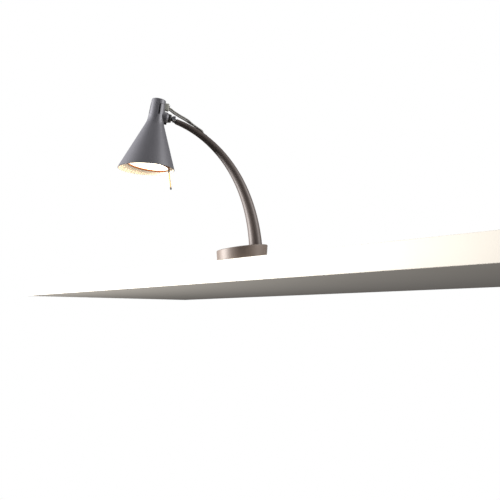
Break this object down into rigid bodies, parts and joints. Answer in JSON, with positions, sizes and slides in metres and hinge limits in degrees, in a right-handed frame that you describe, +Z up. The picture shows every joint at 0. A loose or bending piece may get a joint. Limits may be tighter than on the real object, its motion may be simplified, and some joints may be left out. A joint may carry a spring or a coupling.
{
  "type": "clip on reading lamp",
  "caption": "Small reading lamp: conical shade on a tilt-and-swivel joint at the tip of a tapering curved arm, which rises from a round base that clips to a screwed plate.",
  "frame": {"origin": "centre of the mounting plate's underside, midway between its two screw holes", "axes": "+Z up out of the surface the base sits on, +X from the base's centre towards the arm's foot, with the head over -X; the arm lies in the XZ plane"},
  "size_m": [0.1758, 0.0652, 0.1908],
  "materials": {
    "shade_lacquer": "satin grey lacquer on spun steel",
    "arm_lacquer": "satin dark grey lacquer on tube",
    "base_lacquer": "satin grey lacquer on die-cast zinc",
    "black_plastic": "moulded black nylon",
    "gasket_rubber": "matte",
    "steel": "zinc-plated, turned or pressed",
    "bright_metal": "nickel-plated",
    "brass": "satin",
    "ceramic": "unglazed steatite",
    "lead_sleeve": "silvery silicone-coated glass braid",
    "frosted_glass": "frosted on its inner face",
    "bulb_glass": "clear",
    "reflector_aluminium": "bright anodised",
    "ring_metal": "satin copper-toned"
  },
  "bodies": {
    "base": {"mounting_plate": "steel", "base_gasket": "gasket_rubber", "plate_clips": "steel", "clip_rivets": "steel", "base_housing": "base_lacquer", "lead_inlet": "black_plastic", "terminal_block": "ceramic", "terminal_screws": "brass", "arm_socket": "bright_metal", "socket_washer": "steel", "socket_nut": "steel", "arm_tube": "arm_lacquer", "arm_leads": "lead_sleeve", "lead_grommet": "black_plastic", "tip_fork": "steel", "hinge_screw": "steel", "hinge_nut": "steel", "hinge_washers": "steel", "lead_upper": "lead_sleeve", "lead_lower": "lead_sleeve"},
    "knuckle": {"knuckle": "steel", "friction_ring": "black_plastic", "swivel_washer": "steel", "swivel_nut": "steel"},
    "head": {"swivel_drum": "shade_lacquer", "stop_lug": "black_plastic", "shade": "shade_lacquer", "top_cap": "shade_lacquer", "tie_rod": "steel", "tie_nut": "steel", "holder_bracket": "steel", "lamp_holder": "ceramic", "holder_screws": "steel", "holder_leads": "lead_sleeve", "strain_relief": "shade_lacquer", "strain_relief_screw": "steel", "bulb": "bulb_glass", "bulb_pins": "steel", "reflector": "reflector_aluminium", "reflector_screws": "steel", "glass_ring": "ring_metal", "cover_glass": "frosted_glass", "ring_clips": "steel", "rod_socket": "black_plastic", "handle_rod": "brass", "rod_tip": "black_plastic"}
  },
  "joints": [
    {"name": "head_tilt", "type": "hinge", "parent": "base", "child": "knuckle", "pos_m": [-0.08088, 0, 0.16691], "axis": [0, 1, 0], "range_deg": [-40, 35], "deforming": ["lead_upper", "lead_lower"]},
    {"name": "head_swivel", "type": "hinge", "parent": "knuckle", "child": "head", "pos_m": [-0.08088, 0, 0.16691], "axis": [0.9893, 0, -0.1461], "range_deg": [-75, 75], "deforming": ["lead_upper", "lead_lower"]}
  ]
}
